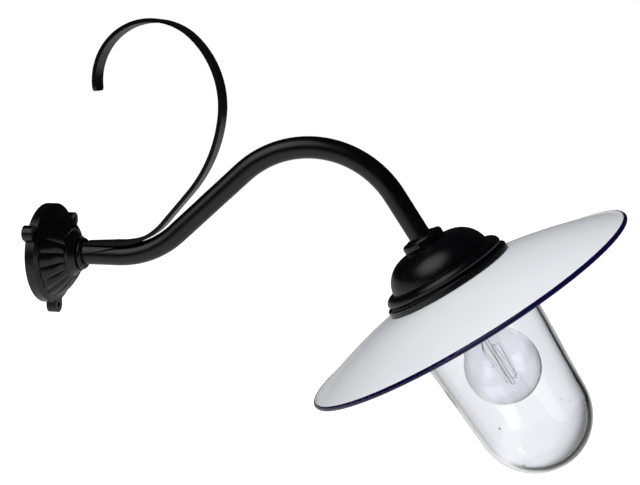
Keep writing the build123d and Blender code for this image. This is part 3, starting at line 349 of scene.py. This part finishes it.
# slot: name, first tone, second tone, roughness from and to
METALS = {
    "zinc": ("zinc_plate", (0.58, 0.58, 0.56), (0.48, 0.49, 0.50), (0.28, 0.42)),
    "black_steel": ("black_oxide_steel", (0.030, 0.030, 0.032), (0.020, 0.020, 0.022),
                    (0.35, 0.50)),
    "zinc_sheet": ("zinc_sheet", (0.55, 0.55, 0.53), (0.45, 0.46, 0.47), (0.32, 0.48)),
    "holder_metal": ("turned_aluminium", (0.60, 0.61, 0.62), (0.52, 0.53, 0.54), (0.30, 0.42)),
    "brass": ("plain_brass", (0.72, 0.55, 0.26), (0.62, 0.45, 0.20), (0.25, 0.40)),
    "lamp_brass": ("rolled_brass", (0.70, 0.56, 0.30), (0.60, 0.47, 0.24), (0.22, 0.36)),
    "lamp_solder": ("solder", (0.50, 0.50, 0.50), (0.40, 0.40, 0.41), (0.35, 0.50)),
    "tungsten": ("tungsten_wire", (0.55, 0.55, 0.56), (0.42, 0.42, 0.43), (0.40, 0.50)),
    "nickel": ("nickel_wire", (0.30, 0.29, 0.28), (0.22, 0.21, 0.21), (0.30, 0.40)),
}
METAL_GRAIN = (700.0, 90.0, 0.00003)    # grain and mottle per metre, bump in metres
MOULDED = {
    "lamp_insulator": ("black_glass", (0.010, 0.010, 0.014), (0.014, 0.014, 0.018), (0.1, 0.2)),
    "porcelain": ("glazed_porcelain", (0.80, 0.78, 0.72), (0.76, 0.74, 0.68), (0.12, 0.22)),
    "block_plastic": ("block_plastic", (0.75, 0.74, 0.70), (0.70, 0.69, 0.65), (0.40, 0.52)),
    "rubber": ("black_rubber", (0.016, 0.016, 0.016), (0.024, 0.024, 0.024), (0.65, 0.80)),
    "wire_brown": ("brown_sleeve", (0.13, 0.055, 0.03), (0.11, 0.045, 0.025), (0.38, 0.50)),
    "wire_blue": ("blue_sleeve", (0.02, 0.10, 0.42), (0.018, 0.085, 0.37), (0.38, 0.50)),
    "wire_green": ("green_sleeve", (0.05, 0.30, 0.06), (0.045, 0.26, 0.05), (0.38, 0.50)),
}
MOULDED_GRAIN = (1100.0, 70.0, 0.00003)
# slot: name, tint, ripples per metre, ripple in metres
GLASSES = {
    "jar_glass": ("seeded_jar_glass", (0.953, 0.955, 0.983), 14.0, 0.0005),
    "lamp_glass": ("thin_lamp_glass", (0.925, 0.927, 0.945), 30.0, 0.0001),
    "stem_glass": ("stem_glass", (0.97, 0.975, 0.97), 300.0, 0.00003),
}

FINISHES = {"black_coat": black_coat(), "white_enamel": white_enamel()}
for slot_name, look in METALS.items():
    FINISHES[slot_name] = uneven_finish(*look, *METAL_GRAIN, metallic=1.0)[0]
for slot_name, look in MOULDED.items():
    FINISHES[slot_name] = uneven_finish(*look, *MOULDED_GRAIN)[0]
for slot_name, look in GLASSES.items():
    FINISHES[slot_name] = clear_glass(*look)


def dress_cad_nodes():
    for entry in frame["record"]["subparts"]:
        node = frame["nodes"][entry["node"]]
        for slot in node.material_slots:
            slot.material = FINISHES[entry["material_slot"]]


# ---- turned glass pieces, in millimetres along and round the head's axis ---------------------
def arc(depth, radius, start, steps):
    """Points in (radius, depth) round a centre on the axis, from an angle to the pole."""
    points = [(radius * math.cos(math.radians(start + (90 - start) * k / steps)),
               depth + radius * math.sin(math.radians(start + (90 - start) * k / steps)))
              for k in range(steps)]
    return points + [(0.0, depth + radius)]


def between(start, end, steps):
    """The points that cut a straight line into equal steps, without its ends."""
    return [(start[0] + (end[0] - start[0]) * k / steps,
             start[1] + (end[1] - start[1]) * k / steps) for k in range(1, steps)]


def turned(name, profile, segments, body, slot, extra=None):
    """Lathe a (radius, depth) outline round the head's axis, and ride it on a body."""
    mesh = bmesh.new()
    verts = [mesh.verts.new((r * MM, 0.0, s * MM)) for r, s in profile]
    edges = [mesh.edges.new(pair) for pair in zip(verts, verts[1:])]
    bmesh.ops.spin(mesh, geom=verts + edges, cent=(0, 0, 0), axis=(0, 0, 1), dvec=(0, 0, 0),
                   angle=math.tau, steps=segments, use_merge=True, use_normal_flip=False,
                   use_duplicate=False)
    bmesh.ops.remove_doubles(mesh, verts=mesh.verts, dist=1e-6)
    bmesh.ops.recalc_face_normals(mesh, faces=mesh.faces)
    if extra:
        extra(mesh)
    bmesh.ops.transform(mesh, matrix=HEAD, verts=mesh.verts)
    data = bpy.data.meshes.new(name)
    mesh.to_mesh(data)
    mesh.free()
    for face in data.polygons:
        face.use_smooth = True
    piece = bpy.data.objects.new(name, data)
    bpy.context.scene.collection.objects.link(piece)
    data.materials.append(FINISHES[slot])
    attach(piece, body)
    return piece


# the jar, from the part's sizes
SHADE_COLLAR_DEPTH = 54.0
SHADE_COLLAR_SLOPE = math.radians(10.0)
SHADE_SEAT_IN = 5.9
SHADE_T = 1.2
HOLDER_FLANGE_T = 2.5
REST_GAP = 0.3
JAR_GASKET_T = 2.0
JAR_NECK_R = 44.0
JAR_NECK_WALL = 3.5
JAR_NECK_H = 19.0
JAR_LIP_ROUND = 0.8
JAR_RIM_DROP = 1.0                      # from the lip's top to where the neck's faces start
JAR_SHOULDER_R = 65.5
JAR_SHOULDER_H = 13.0
JAR_TAPER = math.radians(3.6)
JAR_BOWL_DEPTH = 208.0
JAR_WALL = 5.0
JAR_SEGMENTS = 192
JAR_SHOULDER_STEPS = 12
JAR_SIDE_STEPS = 16
JAR_BOWL_STEPS = 32
SEAT_DEPTH = SHADE_COLLAR_DEPTH - SHADE_SEAT_IN * math.tan(SHADE_COLLAR_SLOPE)
JAR_TOP = SEAT_DEPTH + SHADE_T + HOLDER_FLANGE_T + REST_GAP + JAR_GASKET_T
JAR_NECK_END = JAR_TOP + JAR_NECK_H
JAR_SIDE_H = JAR_BOWL_DEPTH - JAR_NECK_END - JAR_SHOULDER_H
BOWL_R = (JAR_SHOULDER_R - JAR_SIDE_H * math.tan(JAR_TAPER)) * math.cos(JAR_TAPER)
# seed bubbles in the jar's wall: depth, distance from the axis, angle round it, radius
SEEDS = ((190.7, 56.7, 116.0, 1.1), (235.3, 48.4, 122.6, 1.2), (203.4, 55.9, 41.4, 0.6),
         (161.0, 58.9, 250.0, 0.8), (222.0, 53.6, 300.0, 0.8))


def jar_side(wall, neck_r):
    """Outline of the jar's outer or inner face, from the neck's top to the pole."""
    start = JAR_NECK_END + wall
    shoulder_r = (JAR_SHOULDER_R - wall / math.cos(JAR_TAPER)
                  - JAR_SHOULDER_H * math.tan(JAR_TAPER))
    reach = shoulder_r - neck_r
    turns = [math.radians(90 * k / JAR_SHOULDER_STEPS) for k in range(JAR_SHOULDER_STEPS + 1)]
    bend = [(neck_r + reach * math.sin(t), start + JAR_SHOULDER_H * (1 - math.cos(t)))
            for t in turns]
    bowl = arc(JAR_BOWL_DEPTH, BOWL_R - wall, math.degrees(JAR_TAPER), JAR_BOWL_STEPS)
    rim = [(neck_r, JAR_TOP + JAR_RIM_DROP)]
    return rim + bend + between(bend[-1], bowl[0], JAR_SIDE_STEPS) + bowl


def blow_seeds(mesh):
    """Hollow seeds: small balls whose faces point into them, inside the wall."""
    for depth, radius, angle, size in SEEDS:
        turn = math.radians(angle)
        spot = Vector((radius * math.cos(turn), radius * math.sin(turn), depth)) * MM
        made = bmesh.ops.create_icosphere(mesh, subdivisions=3, radius=size * MM,
                                          matrix=Matrix.Translation(spot))
        faces = {face for vert in made["verts"] for face in vert.link_faces}
        bmesh.ops.reverse_faces(mesh, faces=list(faces))


def add_jar():
    neck_in_r = JAR_NECK_R - JAR_NECK_WALL
    lip = [(neck_in_r + JAR_LIP_ROUND, JAR_TOP), (JAR_NECK_R - JAR_LIP_ROUND, JAR_TOP)]
    profile = jar_side(JAR_WALL, neck_in_r)[::-1] + lip + jar_side(0.0, JAR_NECK_R)
    jar = turned("glass_jar_blown", profile, JAR_SEGMENTS, "jar", "jar_glass", blow_seeds)
    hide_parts("glass_jar")


# the lamp's globe, from the part's sizes
LAMP_CAP_END = 94.6
LAMP_CAP_R = 12.0
LAMP_CAP_T = 0.4
SLIP = 0.05
LAMP_GLASS_IN_CAP = 8.0
LAMP_BALL_R = 37.8
LAMP_NECK_R = 17.0
LAMP_NECK_DRAW = 6.0
LAMP_NECK_H = 6.5
LAMP_FLARE = math.radians(31.0)
LAMP_GLASS_T = 0.8
GLOBE_SEGMENTS = 128
GLOBE_DRAW_STEPS = 8
GLOBE_FLARE_STEPS = 6
GLOBE_BALL_STEPS = 48
FLARE_DEPTH = LAMP_CAP_END + LAMP_NECK_DRAW + LAMP_NECK_H
BALL_DEPTH = FLARE_DEPTH + LAMP_BALL_R * math.sin(LAMP_FLARE) + (
    LAMP_BALL_R * math.cos(LAMP_FLARE) - LAMP_NECK_R) / math.tan(LAMP_FLARE)


def globe_side(wall):
    """Outline of the globe's outer or inner face, from inside the lamp's cap to the pole."""
    ball = LAMP_BALL_R - wall
    neck_r = LAMP_NECK_R - wall
    stem_r = LAMP_CAP_R - LAMP_CAP_T - SLIP - wall
    touch = (ball * math.cos(LAMP_FLARE), BALL_DEPTH - ball * math.sin(LAMP_FLARE))
    neck_end = (neck_r, touch[1] - (touch[0] - neck_r) / math.tan(LAMP_FLARE))
    shares = [k / GLOBE_DRAW_STEPS for k in range(GLOBE_DRAW_STEPS + 1)]
    drawn = [(stem_r + (neck_r - stem_r) * (0.5 - 0.5 * math.cos(math.pi * share)),
              LAMP_CAP_END + LAMP_NECK_DRAW * share) for share in shares]
    ball_arc = arc(BALL_DEPTH, ball, -math.degrees(LAMP_FLARE), GLOBE_BALL_STEPS)
    start = [(stem_r, LAMP_CAP_END - LAMP_GLASS_IN_CAP)]
    return start + drawn + between(neck_end, touch, GLOBE_FLARE_STEPS) + ball_arc


def add_globe():
    profile = globe_side(LAMP_GLASS_T)[::-1] + globe_side(0.0)
    globe = turned("lamp_globe_blown", profile, GLOBE_SEGMENTS, "lamp", "lamp_glass")
    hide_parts("lamp_glass")


# ---- the floor -------------------------------------------------------------------------------
def floor_material():
    """Pale and matt, lifted to white for the camera; through glass it shows the screens."""
    material, tree, shader = new_material("pale_floor", FLOOR_TONE, FLOOR_ROUGHNESS)
    coords = tree.nodes.new("ShaderNodeTexCoord").outputs["Object"]
    rays = tree.nodes.new("ShaderNodeLightPath")
    lift = span(tree, vector_node(tree, "LENGTH", coords), *FLOOR_GLOW, *FLOOR_GLOW_FROM)
    to_camera = math_node(tree, "MULTIPLY", rays.outputs["Is Camera Ray"], lift)
    tree.links.new(to_camera, shader.inputs["Emission Strength"])
    shader.inputs["Emission Color"].default_value = WHITE
    heading = vector_node(tree, "NORMALIZE", vector_node(tree, "SUBTRACT", coords, GLASS_AT))
    backdrop = place_group(tree, BACKDROP)
    tree.links.new(heading, backdrop.inputs["Direction"])
    glow = tree.nodes.new("ShaderNodeEmission")
    tree.links.new(backdrop.outputs["Light"], glow.inputs["Strength"])
    mix = tree.nodes.new("ShaderNodeMixShader")
    tree.links.new(rays.outputs["Is Transmission Ray"], mix.inputs["Fac"])
    tree.links.new(shader.outputs["BSDF"], mix.inputs[1])
    tree.links.new(glow.outputs["Emission"], mix.inputs[2])
    tree.links.new(mix.outputs["Shader"], tree.nodes["Material Output"].inputs["Surface"])
    return material


def add_floor():
    mesh = bmesh.new()
    bmesh.ops.create_grid(mesh, x_segments=1, y_segments=1, size=FLOOR_HALF,
                          matrix=Matrix.Translation((0, 0, FLOOR_DEPTH)))
    data = bpy.data.meshes.new("floor")
    mesh.to_mesh(data)
    mesh.free()
    floor = bpy.data.objects.new("floor", data)
    bpy.context.scene.collection.objects.link(floor)
    data.materials.append(floor_material())


bpy.context.scene.view_settings.view_transform = "Standard"
add_camera()
add_world()
for softbox in SOFTBOXES:
    add_softbox(*softbox)
dress_cad_nodes()
add_jar()
add_globe()
add_floor()
